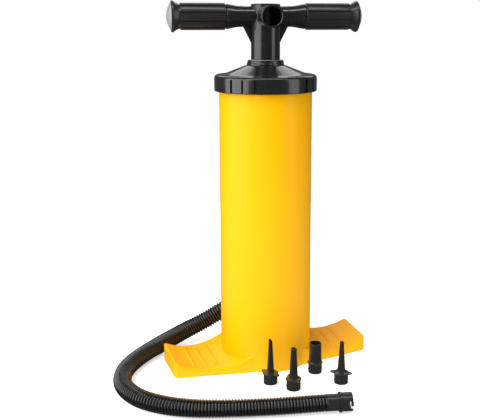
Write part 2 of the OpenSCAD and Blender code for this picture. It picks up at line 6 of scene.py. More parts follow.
import bmesh
import bpy
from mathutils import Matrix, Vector


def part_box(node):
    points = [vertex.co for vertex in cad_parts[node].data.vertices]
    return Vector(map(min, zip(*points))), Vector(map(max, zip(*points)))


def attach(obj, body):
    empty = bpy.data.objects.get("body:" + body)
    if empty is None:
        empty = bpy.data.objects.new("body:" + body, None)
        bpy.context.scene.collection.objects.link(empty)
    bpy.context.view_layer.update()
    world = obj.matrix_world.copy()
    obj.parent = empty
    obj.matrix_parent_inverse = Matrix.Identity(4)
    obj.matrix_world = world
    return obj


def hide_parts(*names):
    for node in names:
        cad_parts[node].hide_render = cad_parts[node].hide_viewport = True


bl_info = {
    "name": "Hand pump pieces",
    "version": (1, 0, 0),
    "blender": (4, 5, 0),
    "location": "View3D > Sidebar > Hand pump",
    "description": "Builds the pieces of a double action hand pump and gives them their finishes",
    "category": "Add Mesh",
}

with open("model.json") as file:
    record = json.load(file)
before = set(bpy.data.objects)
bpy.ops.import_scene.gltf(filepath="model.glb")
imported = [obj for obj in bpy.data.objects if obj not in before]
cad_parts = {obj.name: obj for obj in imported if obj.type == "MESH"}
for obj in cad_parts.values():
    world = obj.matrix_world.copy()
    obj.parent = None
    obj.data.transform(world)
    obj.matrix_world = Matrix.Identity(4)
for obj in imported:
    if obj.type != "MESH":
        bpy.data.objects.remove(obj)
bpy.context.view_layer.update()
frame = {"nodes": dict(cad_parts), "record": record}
RECORD = frame["record"]

TINY = 1e-5
QUARTER = math.radians(90)
ALONG_X = (0, QUARTER, 0)
FORWARDS = (QUARTER, 0, 0)
WHITE = (1, 1, 1, 1)

# Sizes that the frame gives
BARREL_LOW, BARREL_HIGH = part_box("barrel")
CAP_LOW, CAP_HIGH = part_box("cap")
BUSH_LOW, BUSH_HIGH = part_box("rod_bush")
HEAD_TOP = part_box("head_plate")[1][2]
SOCKET_LOW, SOCKET_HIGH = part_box("outlet_socket")
PLUG_LOW, PLUG_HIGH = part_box("hose_plug")
ROD_LOW, ROD_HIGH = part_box("piston_rod")
HANDLE_LOW, HANDLE_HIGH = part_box("handle")
OUTLET_Y = (SOCKET_LOW[1] + SOCKET_HIGH[1]) / 2
OUTLET_Z = (SOCKET_LOW[2] + SOCKET_HIGH[2]) / 2

# How far the wings and the outlet's web reach into the barrel's wall
OVERLAP = 0.0011
# Where the soft lights point
PUMP_MIDDLE = Vector((0, 0, 0.2))
# Where the wings' grid starts, as a share of the barrel's radius
WING_START = 0.47
# Turn of the cuff's first hooked slot about the cuff
SLOT_TURN = math.radians(108)
# Length of a grip's cone and flange beyond its ribs
FLANGE_LENGTH = 0.009

BODY = "pump_body"
PLUNGER = "plunger"

# The hose's centre line, from the outlet's plug to the free cuff
HOSE_ROUTE = [
    (-0.009, 0.0675, 0.0435), (-0.0215, 0.0675, 0.0424), (-0.0338, 0.0676, 0.039),
    (-0.0458, 0.0678, 0.0334), (-0.0582, 0.068, 0.0276), (-0.0714, 0.0674, 0.0224),
    (-0.086, 0.065, 0.018), (-0.101, 0.0599, 0.0142), (-0.1165, 0.0518, 0.0118),
    (-0.131, 0.041, 0.0108), (-0.145, 0.0285, 0.0105), (-0.158, 0.015, 0.0105),
    (-0.169, 0.001, 0.0105), (-0.178, -0.015, 0.0105), (-0.1835, -0.033, 0.0105),
    (-0.1845, -0.052, 0.0105), (-0.1805, -0.070, 0.0105), (-0.1725, -0.087, 0.0105),
    (-0.160, -0.102, 0.0105), (-0.143, -0.116, 0.0105), (-0.120, -0.1285, 0.0105),
    (-0.092, -0.1385, 0.0105), (-0.064, -0.1465, 0.0105), (-0.036, -0.1535, 0.0107),
    (-0.008, -0.1595, 0.011), (0.010, -0.1634, 0.0112),
]
CUFF_ANGLE = math.radians(-13)


# Settings ----------------------------------------------------------------------------------


def length(name, description, default, low=0.0001, high=1.0):
    return bpy.props.FloatProperty(
        name=name, description=description, default=default, min=low, max=high,
        precision=5, unit="LENGTH",
    )


def angle(name, description, default):
    return bpy.props.FloatProperty(
        name=name, description=description, default=math.radians(default), subtype="ANGLE"
    )


def colour(name, things, default):
    return bpy.props.FloatVectorProperty(
        name=name, description=f"Colour of the {things}", default=default, size=3, min=0, max=1,
        subtype="COLOR",
    )


class PumpBarrelSizes(bpy.types.PropertyGroup):
    radius: length("Barrel radius", "Outer radius of the barrel", -BARREL_LOW[1])
    wall: length("Barrel wall", "Thickness of the barrel's wall", 0.0022)
    height: length("Barrel height", "Height of the barrel's rim", BARREL_HIGH[2])
    reach: length("Wing reach", "Distance from the axis to the end of a wing", BARREL_HIGH[0])
    end_half_width: length("Wing end half width", "Half a wing's width at its end", 0.030)
    root_half_width: length("Wing root half width", "Half a wing's width at the barrel", 0.0465)
    lip_height: length("Lip height", "Height of the lip at the end of a wing", 0.0205)
    tread_height: length("Tread height", "Height of the tread at its lowest line", 0.0085)
    tread_place: length("Tread place", "Distance from the axis to the tread's lowest line", 0.080)
    tread_tilt: angle("Tread slope", "Slope of the treads towards the user", 2.9)
    wing_wall: length("Wing wall", "Thickness of the wings", 0.0024)
    corner: length("Wing corner", "Radius of the wing's corners", 0.0048)
    ridge_pitch: length("Ridge spacing", "Distance between the grip ridges", 0.0135)
    ridge_height: length("Ridge height", "Height of the grip ridges", 0.0012)


class PumpCapSizes(bpy.types.PropertyGroup):
    radius: length("Cap radius", "Outer radius of the cap", CAP_HIGH[0])
    low: length("Cap foot", "Height of the skirt's lower edge", CAP_LOW[2])
    top: length("Cone top", "Height of the top of the cone", CAP_HIGH[2])
    edge: length("Edge rounding", "Radius of the skirt's upper edge", 0.004)
    groove_width: length("Groove width", "Width of a grip groove", 0.0031)
    groove_depth: length("Groove depth", "Depth of a grip groove", 0.0024)
    groove_step: angle("Groove spacing", "Angle between the grooves of a group", 14.6)


class PumpHandleSizes(bpy.types.PropertyGroup):
    turn: angle("Handle turn", "Turn of the handle about the rod", -10)
    column_radius: length("Column radius", "Radius of the handle's column", 0.0165)
    arm_height: length("Arm height", "Height of the arms' axis", 0.4085)
    arm_radius: length("Arm radius", "Radius of the arms", 0.01125)
    grip_start: length("Grip start", "Distance from the axis to a grip", 0.045)
    grip_length: length("Grip length", "Length of the ribbed part of a grip", 0.052)
    grip_radius: length("Grip radius", "Outer radius of a grip", 0.0148)
    flange_radius: length("Flange radius", "Outer radius of the flange at a grip's end", 0.0172)
    panels: bpy.props.IntProperty(
        name="Grip panels", description="Number of raised panels round a grip", default=10,
        min=6, max=16,
    )
    port_radius: length("Port radius", "Outer radius of the intake port", 0.0123)
    port_bore: length("Port bore", "Radius of the intake port's bore", 0.0102)
    port_reach: length("Port reach", "Distance from the axis to the port's mouth", 0.046)


class PumpHoseSizes(bpy.types.PropertyGroup):
    radius: length("Hose radius", "Outer radius of the hose over its ribs", 0.0102)
    root_radius: length("Root radius", "Outer radius of the hose between its ribs", 0.0081)
    rib_pitch: length("Rib spacing", "Distance between the hose's ribs", 0.0034)
    cuff_length: length("Cuff length", "Length of the cuff behind its rim", 0.015)
    bell_length: length("Bell length", "Length of the cuff's open end", 0.012)
    bell_radius: length("Bell radius", "Outer radius of the cuff's open end", 0.010)
    bell_bore: length("Bell bore", "Radius of the cuff's open end inside", 0.0082)


class PumpNozzleSizes(bpy.types.PropertyGroup):
    base_radius: length("Base radius", "Outer radius of a nozzle's base", 0.008)
    base_height: length("Base height", "Height of a nozzle's base", 0.0128)
    wall: length("Nozzle wall", "Wall thickness of a nozzle", 0.0012)


class PumpColours(bpy.types.PropertyGroup):
    barrel: colour("Barrel", "barrel and the wings", (0.98, 0.48, 0.001))
    cap: colour("Cap", "cap and the collar", (0.010, 0.009, 0.009))
    handle: colour("Handle", "handle's column and arms", (0.010, 0.009, 0.009))
    grip: colour("Grips", "grips", (0.016, 0.015, 0.015))
    plug: colour("Grip caps", "domed caps in the grips", (0.36, 0.355, 0.35))
    hose: colour("Hose", "hose", (0.005, 0.005, 0.005))
    nozzle: colour("Nozzles", "nozzles", (0.016, 0.016, 0.017))
    rod: colour("Rod", "piston rod", (0.62, 0.61, 0.58))


# Working tools -----------------------------------------------------------------------------


def deselect_everything():
    if bpy.context.object and bpy.context.object.mode != "OBJECT":
        bpy.ops.object.mode_set(mode="OBJECT")
    bpy.ops.object.select_all(action="DESELECT")


def work_on(*pieces):
    """Selects only these pieces, the first one active."""
    deselect_everything()
    for piece in pieces:
        piece.select_set(True)
    bpy.context.view_layer.objects.active = pieces[0]


def edit(piece):
    work_on(piece)
    bpy.ops.object.mode_set(mode="EDIT")
    bpy.ops.mesh.select_all(action="SELECT")


def done():
    bpy.ops.object.mode_set(mode="OBJECT")


def named(piece, name):
    piece.name = name
    piece.data.name = name
    return piece


def place(piece, at=(0, 0, 0), turn=(0, 0, 0)):
    """Turns and moves a piece, and puts its place into its mesh."""
    work_on(piece)
    piece.rotation_euler = turn
    piece.location = at
    bpy.ops.object.transform_apply(location=True, rotation=True, scale=True)
    return piece


def to_side(piece, side):
    """Turns a piece that lies to the right round to its side, right (1) or left (-1)."""
    return place(piece, turn=(0, 0, 0 if side > 0 else math.pi))


def pick(piece, kind, wanted):
    """Selects the vertices or faces that pass the test, in edit mode."""
    bpy.ops.mesh.select_mode(type=kind)
    bpy.ops.mesh.select_all(action="DESELECT")
    mesh = bmesh.from_edit_mesh(piece.data)
    for part in mesh.verts if kind == "VERT" else mesh.faces:
        if wanted(part):
            part.select_set(True)
    bmesh.update_edit_mesh(piece.data)


def close_up(piece):
    """Merges what coincides and turns the faces outwards."""
    edit(piece)
    bpy.ops.mesh.remove_doubles(threshold=2e-6)
    bpy.ops.mesh.select_all(action="SELECT")
    bpy.ops.mesh.normals_make_consistent(inside=False)
    done()
    return piece


def smooth(piece, degrees=32):
    work_on(piece)
    bpy.ops.object.shade_smooth_by_angle(angle=math.radians(degrees))
    return piece


def soften(piece, width, segments=3, degrees=30):
    """Rounds a piece's edges."""
    work_on(piece)
    bevel = piece.modifiers.new("Rounded edges", "BEVEL")
    bevel.width = width
    bevel.segments = segments
    bevel.limit_method = "ANGLE"
    bevel.angle_limit = math.radians(degrees)
    bevel.use_clamp_overlap = True
    bpy.ops.object.modifier_apply(modifier=bevel.name)
    return piece


def turned(name, outline, sides=96):
    """A piece turned about Z: a ring that is extruded along its outline of (radius, height)."""
    deselect_everything()
    radius, height = outline[0]
    bpy.ops.mesh.primitive_circle_add(
        vertices=sides, radius=max(radius, TINY), location=(0, 0, height)
    )
    piece = named(bpy.context.active_object, name)
    bpy.ops.object.mode_set(mode="EDIT")
    bpy.ops.mesh.select_mode(type="EDGE")
    bpy.ops.mesh.select_all(action="SELECT")
    for (r0, z0), (r1, z1) in zip(outline, outline[1:]):
        bpy.ops.mesh.extrude_region_move(TRANSFORM_OT_translate={"value": (0, 0, z1 - z0)})
        grow = max(r1, TINY) / max(r0, TINY)
        bpy.ops.transform.resize(value=(grow, grow, 1), center_override=(0, 0, z1))
    done()
    place(piece, at=piece.location)
    edit(piece)
    bpy.ops.mesh.remove_doubles(threshold=TINY * 0.2)
    for radius, height in (outline[0], outline[-1]):
        if radius == 0:
            pick(piece, "VERT", lambda point: point.co.xy.length < TINY * 2
                 and abs(point.co.z - height) < TINY)
            bpy.ops.mesh.merge(type="CENTER")
    bpy.ops.mesh.select_mode(type="VERT")
    bpy.ops.mesh.select_all(action="SELECT")
    bpy.ops.mesh.normals_make_consistent(inside=False)
    done()
    return piece


def round_bar(name, radius, low, high, sides):
    """A plain round bar along Z, to be shaped or to cut with."""
    return turned(name, [(0, low), (radius, low), (radius, high), (0, high)], sides)


def block(name, low, high):
    """A plain block between two corners, ready to be shaped."""
    deselect_everything()
    bpy.ops.mesh.primitive_cube_add(size=1, location=[(a + b) / 2 for a, b in zip(low, high)])
    piece = named(bpy.context.active_object, name)
    piece.scale = [b - a for a, b in zip(low, high)]
    bpy.ops.object.transform_apply(location=True, rotation=True, scale=True)
    return piece


def joined(name, pieces):
    work_on(*pieces)
    bpy.ops.object.join()
    return named(bpy.context.active_object, name)


def copy_of(piece, name):
    work_on(piece)
    bpy.ops.object.duplicate()
    return named(bpy.context.active_object, name)


def cut_with(piece, tools):
    """Cuts the tools' shapes out of a piece."""
    for tool in tools:
        work_on(piece)
        cutting = piece.modifiers.new("Cut", "BOOLEAN")
        cutting.operation = "DIFFERENCE"
        cutting.solver = "EXACT"
        cutting.object = tool
        bpy.ops.object.modifier_apply(modifier=cutting.name)
        bpy.data.objects.remove(tool, do_unlink=True)
    return piece


def fit(piece, body, finish, *nodes):
    """Gives a finished piece its body and its finish, and hides the CAD nodes that it stands for.
    """
    piece.data.materials.clear()
    piece.data.materials.append(MATERIALS[finish])
    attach(piece, body)
    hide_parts(*nodes)
    return piece


# Finishes ----------------------------------------------------------------------------------

MATERIALS = {}


def node_group(name, inputs, outputs):
    """A shader group of numbers: inputs by name with their defaults, and outputs by name."""
    group = bpy.data.node_groups.new(name, "ShaderNodeTree")
    new_socket = group.interface.new_socket
    for label, value in inputs.items():
        new_socket(name=label, in_out="INPUT", socket_type="NodeSocketFloat").default_value = value
    for label in outputs:
        new_socket(name=label, in_out="OUTPUT", socket_type="NodeSocketFloat")
    nodes = group.nodes
    return group, nodes.new("NodeGroupInput"), nodes.new("NodeGroupOutput")


def add(tree, kind, **settings):
    """A new node, with its inputs and its own settings set by name."""
    node = tree.nodes.new(kind)
    for key, value in settings.items():
        if key in node.inputs:
            node.inputs[key].default_value = value
        else:
            setattr(node, key, value)
    return node


def wire(tree, *links):
    """Links nodes, each link as (node, output, node, input)."""
    for source, output, target, socket in links:
        tree.links.new(source.outputs[output], target.inputs[socket])


def moulded_skin_group():
    """The fine grain and slow change of tone of moulded plastic."""
    group, start, end = node_group(
        "Moulded skin", {"Grain Size": 900.0, "Cloud Size": 14.0}, ["Grain", "Cloud"]
    )
    place_at = add(group, "ShaderNodeTexCoord")
    grain = add(group, "ShaderNodeTexNoise", Detail=3.0, Roughness=0.55)
    cloud = add(group, "ShaderNodeTexNoise", Detail=2.0, Roughness=0.5)
    wire(
        group,
        (place_at, "Object", grain, "Vector"), (place_at, "Object", cloud, "Vector"),
        (start, "Grain Size", grain, "Scale"), (start, "Cloud Size", cloud, "Scale"),
        (grain, "Fac", end, "Grain"), (cloud, "Fac", end, "Cloud"),
    )


def handling_marks_group():
    """Faint long scuffs, as from hands and storage."""
    group, start, end = node_group("Handling marks", {"Amount": 0.5, "Size": 60.0}, ["Marks"])
    place_at = add(group, "ShaderNodeTexCoord")
    stretch = add(group, "ShaderNodeMapping", Scale=(1.0, 1.0, 0.12), Rotation=(0.35, 0.2, 0.5))
    scuff = add(group, "ShaderNodeTexNoise", Detail=5.0, Roughness=0.7)
    band = add(group, "ShaderNodeMapRange", **{"From Min": 0.60, "From Max": 0.74})
    amount = add(group, "ShaderNodeMath", operation="MULTIPLY")
    wire(
        group,
        (place_at, "Object", stretch, "Vector"), (stretch, "Vector", scuff, "Vector"),
        (start, "Size", scuff, "Scale"), (scuff, "Fac", band, "Value"),
        (band, "Result", amount, 0), (start, "Amount", amount, 1),
        (amount, "Value", end, "Marks"),
    )


def settled_dust_group():
    """A thin veil of dust on faces that look up."""
    group, start, end = node_group("Settled dust", {"Amount": 0.1}, ["Dust"])
    place_at = add(group, "ShaderNodeTexCoord")
    facing = add(group, "ShaderNodeNewGeometry")
    split = add(group, "ShaderNodeSeparateXYZ")
    up = add(group, "ShaderNodeMapRange", **{"From Min": 0.55, "From Max": 1.0})
    patches = add(group, "ShaderNodeTexNoise", Scale=45.0, Detail=4.0, Roughness=0.6)
    both = add(group, "ShaderNodeMath", operation="MULTIPLY")
    amount = add(group, "ShaderNodeMath", operation="MULTIPLY")
    wire(
        group,
        (facing, "Normal", split, "Vector"), (split, "Z", up, "Value"),
        (place_at, "Object", patches, "Vector"), (up, "Result", both, 0),
        (patches, "Fac", both, 1), (both, "Value", amount, 0),
        (start, "Amount", amount, 1), (amount, "Value", end, "Dust"),
    )


def effect(tree, group, **values):
    """One of the shared node groups, placed in a material with its own values."""
    return add(tree, "ShaderNodeGroup", node_tree=bpy.data.node_groups[group], **values)


def finish(name, base, shade, rough, coat=0.0, coat_rough=0.1, grain=900.0, bump=0.02,
           cloud=14.0, marks=0.4, dust=0.0, metallic=0.0, specular=0.5):
    """A finish whose colour drifts between base and shade, with grain, scuffs and dust."""
    material = bpy.data.materials.new(name)
    material.use_nodes = True
    tree = material.node_tree
    tree.nodes.clear()
    out = add(tree, "ShaderNodeOutputMaterial")
    shader = add(tree, "ShaderNodeBsdfPrincipled", Metallic=metallic, **{
        "Coat Weight": coat, "Coat Roughness": coat_rough, "Specular IOR Level": specular,
    })
    skin = effect(tree, "Moulded skin", **{"Grain Size": grain, "Cloud Size": cloud})
    scuffs = effect(tree, "Handling marks", Amount=marks)
    veil = effect(tree, "Settled dust", Amount=dust)
    scuffed = [min(1, c * 1.15 + 0.02) for c in base]
    tone = add(tree, "ShaderNodeMix", data_type="RGBA", A=(*base, 1), B=(*shade, 1))
    worn = add(tree, "ShaderNodeMix", data_type="RGBA", B=(*scuffed, 1))
    dusty = add(tree, "ShaderNodeMix", data_type="RGBA", B=(0.55, 0.53, 0.50, 1))
    roughness = add(tree, "ShaderNodeMapRange", **{
        "To Min": max(0.02, rough - 0.05), "To Max": rough + 0.07,
    })
    rougher = add(tree, "ShaderNodeMath", operation="MULTIPLY_ADD")
    rougher.inputs[1].default_value = 0.12
    relief = add(tree, "ShaderNodeBump", Strength=bump, Distance=0.0002)
    wire(
        tree,
        (skin, "Cloud", tone, "Factor"), (tone, "Result", worn, "A"),
        (scuffs, "Marks", worn, "Factor"), (worn, "Result", dusty, "A"),
        (veil, "Dust", dusty, "Factor"), (dusty, "Result", shader, "Base Color"),
        (skin, "Cloud", roughness, "Value"), (scuffs, "Marks", rougher, 0),
        (roughness, "Result", rougher, 2), (rougher, "Value", shader, "Roughness"),
        (skin, "Grain", relief, "Height"), (relief, "Normal", shader, "Normal"),
        (shader, "BSDF", out, "Surface"),
    )
    MATERIALS[name] = material


def tinted(name, tint, rough, by=0.8, **looks):
    """A finish in one of the panel's colours, which drifts to a darker shade of it."""
    finish(name, tuple(tint), tuple(c * by for c in tint), rough, **looks)


def make_finishes(colours):
    moulded_skin_group()
    handling_marks_group()
    settled_dust_group()
    red, green, blue = colours.barrel
    finish("barrel_yellow", (red, green, blue), (red * 0.97, green * 0.94, blue), 0.30,
           coat=0.1, coat_rough=0.25, grain=1300, bump=0.015, cloud=7, marks=0.04, specular=0.14)
    tinted("cap_black", colours.cap, 0.2, coat=0.6, coat_rough=0.08, marks=0.25, dust=0.01,
           specular=0.8)
    tinted("handle_black", colours.handle, 0.2, coat=0.5, marks=0.3, dust=0.01, specular=0.75)
    tinted("grip_grey", colours.grip, 0.30, coat=0.25, grain=1600, bump=0.05, marks=0.3,
           dust=0.02, specular=0.7)
    tinted("grip_cap", colours.plug, 0.30, by=0.9, coat=0.3, grain=1200, bump=0.03, marks=0.3)
    tinted("hose_black", colours.hose, 0.2, coat=0.6, grain=1500, marks=0.1, specular=0.9)
    for name, coat in (("cuff_black", 0.2), ("nozzle_black", 0.6)):
        tinted(name, colours.nozzle, 0.28, coat=coat, grain=1400, bump=0.04, marks=0.2,
               specular=0.7)
    tinted("rod_white", colours.rod, 0.25, by=0.94, coat=0.2, grain=1200, marks=0.25)
    finish("inner_white", (0.60, 0.59, 0.55), (0.55, 0.54, 0.50), 0.45, bump=0.05, marks=0.2)
    finish("inner_black", (0.030, 0.030, 0.032), (0.024, 0.024, 0.026), 0.42, bump=0.06,
           marks=0.3)
    finish("seal_rubber", (0.018, 0.018, 0.019), (0.026, 0.025, 0.025), 0.62, grain=2200,
           bump=0.12, marks=0.3, specular=0.35)
    finish("screw_steel", (0.55, 0.55, 0.54), (0.48, 0.48, 0.47), 0.33, grain=2600,
           bump=0.1, marks=0.5, metallic=1.0)


# Barrel and wings --------------------------------------------------------------------------


def trough_radius(sizes):
    """Radius of the treads' trough, from its lowest line up to the lip."""
    run = sizes.reach - sizes.tread_place
    rise = sizes.lip_height - sizes.tread_height
    return (run * run + rise * rise) / (2 * rise)


def tread_height(sizes, x, y=0.0):
    """Height of the tread, a round trough across the wing that falls a little towards -Y."""
    radius = trough_radius(sizes)
    off = x - sizes.tread_place
    level = sizes.tread_height + radius - math.sqrt(max(radius * radius - off * off, 0))
    return level + y * math.tan(sizes.tread_tilt)


def wing_point(sizes, u, v, inset, drop, side):
    """A point of the tread, u of the way out and v of the way across, with the corners rounded."""
    root = sizes.radius * WING_START
    end = sizes.reach - inset
    x = root + u * (end - root)
    share = (x - root) / (sizes.reach - root)
    half = sizes.root_half_width + share * (sizes.end_half_width - sizes.root_half_width) - inset
    y = v * half
    corner = sizes.corner - inset
    over_x, over_y = (x - end + corner) / corner, (abs(y) - half + corner) / corner
    if over_x > 0 and over_y > 0:
        x = end - corner + corner * over_x * math.sqrt(1 - over_y * over_y / 2)
        out_y = half - corner + corner * over_y * math.sqrt(1 - over_x * over_x / 2)
        y = math.copysign(out_y, y)
    return x, y, tread_height(sizes, x, side * y) - drop


def wing_solid(sizes, inset, rounding, drop, foot, side):
    """A solid wing: a grid laid over the tread, folded over its rim and down to its foot."""
    deselect_everything()
    bpy.ops.mesh.primitive_grid_add(x_subdivisions=44, y_subdivisions=26, size=2)
    piece = named(bpy.context.active_object, "wing")
    edit(piece)
    mesh = bmesh.from_edit_mesh(piece.data)
    spot = mesh.verts.layers.float_vector.new("spot")
    for vertex in mesh.verts:
        u, v = (vertex.co.x + 1) / 2, vertex.co.y
        vertex[spot] = (u, v, 0)
        vertex.co = wing_point(sizes, u, v, inset + rounding, drop, side)
    bmesh.update_edit_mesh(piece.data)
    bpy.ops.mesh.select_mode(type="EDGE")
    bpy.ops.mesh.select_all(action="DESELECT")
    bpy.ops.mesh.select_non_manifold()
    turns = [math.radians(a) for a in (22.5, 45, 67.5, 90)] if rounding else []
    folds = [
        (inset + rounding * (1 - math.sin(a)), drop + rounding * (1 - math.cos(a)), False)
        for a in turns
    ]
    for draw, down, last in folds + [(inset, 0, True)]:
        bpy.ops.mesh.extrude_region_move(TRANSFORM_OT_translate={"value": (0, 0, -0.0001)})
        mesh = bmesh.from_edit_mesh(piece.data)
        spot = mesh.verts.layers.float_vector["spot"]
        for vertex in mesh.verts:
            if vertex.select:
                u, v, _ = vertex[spot]
                vertex.co = wing_point(sizes, u, v, draw, down, side)
                if last:
                    vertex.co.z = foot
        bmesh.update_edit_mesh(piece.data)
    bpy.ops.mesh.edge_face_add()
    bpy.ops.mesh.select_all(action="SELECT")
    bpy.ops.mesh.normals_make_consistent(inside=False)
    done()
    return piece


def wing(sizes, side):
    """One hollow wing with a rounded rim, open at the barrel, to the right (1) or left (-1)."""
    wall = sizes.wing_wall
    piece = wing_solid(sizes, inset=0, rounding=0.0026, drop=0, foot=0, side=side)
    hollow = wing_solid(sizes, inset=wall, rounding=0, drop=1.2 * wall, foot=-0.002, side=side)
    core = round_bar("core", sizes.radius - OVERLAP, -0.01, 0.08, 128)
    return to_side(cut_with(piece, [hollow, core]), side)


def tread_ridge(sizes, x, side):
    """A low rounded ridge across the tread."""
    half_width, half_length, sunk = 0.002, 0.025, 0.0012
    ridge = block("ridge", (-half_width, -half_length, -sunk),
                  (half_width, half_length, sizes.ridge_height))
    soften(ridge, 0.0011, 4)
    slope = math.asin((x - sizes.tread_place) / trough_radius(sizes))
    place(ridge, turn=(side * sizes.tread_tilt, 0, 0))
    place(ridge, (x, 0, tread_height(sizes, x)), (0, -slope, 0))
    return to_side(ridge, side)


def outlet_duct(sizes):
    """The round boss of the outlet and the web that joins it to the barrel."""
    radius, mouth, bore = 0.0145, 0.0125, 0.0102
    start, reach, step, end_wall = 0.012, 0.026, 0.012, 0.002
    boss = turned("boss", [
        (mouth, 0), (radius, 0), (radius, reach), (0, reach), (0, reach - end_wall),
        (bore, reach - end_wall), (bore, step), (mouth, step), (mouth, 0),
    ], 64)
    soften(boss, 0.001)
    place(boss, (start, OUTLET_Y, OUTLET_Z), ALONG_X)
    web = block("web", (start + 0.0005, 0.045, OUTLET_Z - radius + 0.003),
                (start + reach - 0.0005, OUTLET_Y - 0.009, OUTLET_Z + radius - 0.003))
    soften(web, 0.0012)
    core = round_bar("core", sizes.radius - OVERLAP, 0, 0.1, 128)
    return [boss, cut_with(web, [core])]


class PUMP_OT_barrel(bpy.types.Operator):
    """Makes the barrel, its two foot wings, their ridges and the outlet duct as one moulding"""

    bl_idname = "pump.barrel"
    bl_label = "Barrel"

    def execute(self, context):
        sizes = context.scene.pump_barrel
        inner = sizes.radius - sizes.wall
        deck_top, deck_low = 0.025, 0.022
        draft = 0.0013
        tube = turned("tube", [
            (inner, 0), (sizes.radius + draft, 0), (sizes.radius + 0.8 * draft, 0.1),
            (sizes.radius + 0.3 * draft, 0.2), (sizes.radius, 0.29), (sizes.radius, sizes.height),
            (inner, sizes.height), (inner, deck_top), (0, deck_top),
            (0, deck_low), (inner, deck_low), (inner, 0),
        ], 144)
        soften(tube, 0.0006)
        parts = [tube]
        for side in (1, -1):
            parts.append(wing(sizes, side))
            for index in (-1, 0, 1):
                x = sizes.tread_place + 0.004 + index * sizes.ridge_pitch
                parts.append(tread_ridge(sizes, x, side))
        piece = joined("barrel_moulding", parts + outlet_duct(sizes))
        smooth(piece, 34)
        fit(piece, BODY, "barrel_yellow", "barrel")
        return {"FINISHED"}


# Cap and collar ----------------------------------------------------------------------------


class PUMP_OT_cap(bpy.types.Operator):
    """Makes the screw cap with its grip grooves, and the collar that guides the rod"""

    bl_idname = "pump.cap"
    bl_label = "Cap and collar"

    def execute(self, context):
        sizes = context.scene.pump_cap
        barrel = context.scene.pump_barrel
        inner = barrel.radius + 0.0005
        seat = HEAD_TOP - 0.005
        shoulder = seat + 0.0024
        bore = 0.0186
        arc = [
            (sizes.radius - sizes.edge + sizes.edge * math.cos(math.radians(a)),
             shoulder - sizes.edge + sizes.edge * math.sin(math.radians(a)))
            for a in range(0, 91, 15)
        ]
        outline = [
            (inner, sizes.low), (sizes.radius - 0.0006, sizes.low),
            (sizes.radius, sizes.low + 0.0007), *arc,
            (0.0495, shoulder + 0.0001), (0.0478, shoulder + 0.0005), (0.0453, shoulder + 0.0016),
            (0.0236, sizes.top - 0.0002), (0.0232, sizes.top), (bore, sizes.top),
            (bore, sizes.top - 0.0024), (0.0226, sizes.top - 0.0024), (0.0443, shoulder - 0.0008),
            (0.0513, seat + 0.0008), (0.0513, seat), (inner, seat), (inner, sizes.low),
        ]
        piece = turned("screw_cap", outline, 192)
        half = sizes.groove_width / 2
        groove = block("groove", (sizes.radius - sizes.groove_depth, -half, sizes.low - 0.01),
                       (sizes.radius + 0.01, half, shoulder - sizes.edge + 0.0008))
        turns = [
            math.radians(group) + step * sizes.groove_step
            for group in (45, 135, 225, 315) for step in (-1, 0, 1)
        ]
        tools = [place(copy_of(groove, "groove_tool"), turn=(0, 0, turn)) for turn in turns]
        bpy.data.objects.remove(groove, do_unlink=True)
        cut_with(piece, tools)
        smooth(piece, 24)
        fit(piece, BODY, "cap_black", "cap")

        rod = 0.01605
        low, top = BUSH_LOW[2], BUSH_HIGH[2]
        foot = CAP_HIGH[2]
        collar = turned("rod_collar", [
            (rod, low), (bore - 0.00015, low), (bore - 0.00015, foot), (0.0214, foot),
            (0.0214, foot + 0.0021), (0.0207, foot + 0.0028), (0.0207, top - 0.0014),
            (0.0201, top - 0.0002), (0.0186, top), (0.0174, top), (0.0170, top - 0.0010),
            (rod, top - 0.0012), (rod, low),
        ], 96)
        soften(collar, 0.0003, 2)
        smooth(collar, 34)
        fit(collar, BODY, "cap_black", "rod_bush")
        return {"FINISHED"}


# Handle ------------------------------------------------------------------------------------


def arm(sizes):
    """An arm along Z: a straight root, a shallow joint line, and a cone that carries the grip."""
    thick, outer, start = sizes.arm_radius, sizes.grip_radius, sizes.grip_start
    end = start + sizes.grip_length + 0.004
    core = 0.009
    return turned("arm", [
        (0, 0.002), (thick, 0.002), (thick, 0.0236), (thick - 0.0004, 0.0238),
        (thick - 0.0004, 0.0243), (thick + 0.0002, 0.0245), (thick + 0.0003, 0.0295),
        (0.0118, 0.033), (outer - 0.0012, start - 0.0025), (outer - 0.0010, start - 0.0008),
        (outer - 0.0016, start), (core, start), (core, end), (0, end),
    ], 72)


def gusset(sizes):
    """The web under the right arm, cut from a block."""
    fall, run, half_width, overlap = 0.0195, 0.010, 0.002, 0.002
    underside = sizes.arm_height - sizes.arm_radius
    low = underside - fall
    piece = block("gusset", (sizes.column_radius - 0.001, -half_width, low),
                  (sizes.column_radius + run, half_width, underside + overlap))
    edit(piece)
    bpy.ops.mesh.bisect(
        plane_co=(sizes.column_radius, 0, low), plane_no=(fall, 0, -run),
        clear_outer=True, use_fill=True,
    )
    done()
    return soften(piece, 0.0006, 2)


def intake_port(sizes):
    """The open port on the handle's front, with two lugs for the hose's fitting."""
    outer, bore, reach = sizes.port_radius, sizes.port_bore, sizes.port_reach
    edge, floor, lug, level = 0.0006, 0.012, 0.0024, sizes.arm_height
    piece = turned("port", [
        (0, 0.002), (outer, 0.002), (outer, reach - edge), (outer - edge, reach),
        (bore + edge, reach), (bore, reach - edge), (bore, floor), (0, floor),
    ], 72)
    place(piece, (0, 0, level), FORWARDS)
    lugs = block("lugs", (-outer - lug, -reach + 0.014, level - 0.004),
                 (outer + lug, -reach + 0.020, level + 0.004))
    soften(lugs, 0.0012)
    hole = round_bar("hole", bore, floor, 0.06, 72)
    place(hole, (0, 0, level), FORWARDS)
    return [piece, cut_with(lugs, [hole])]


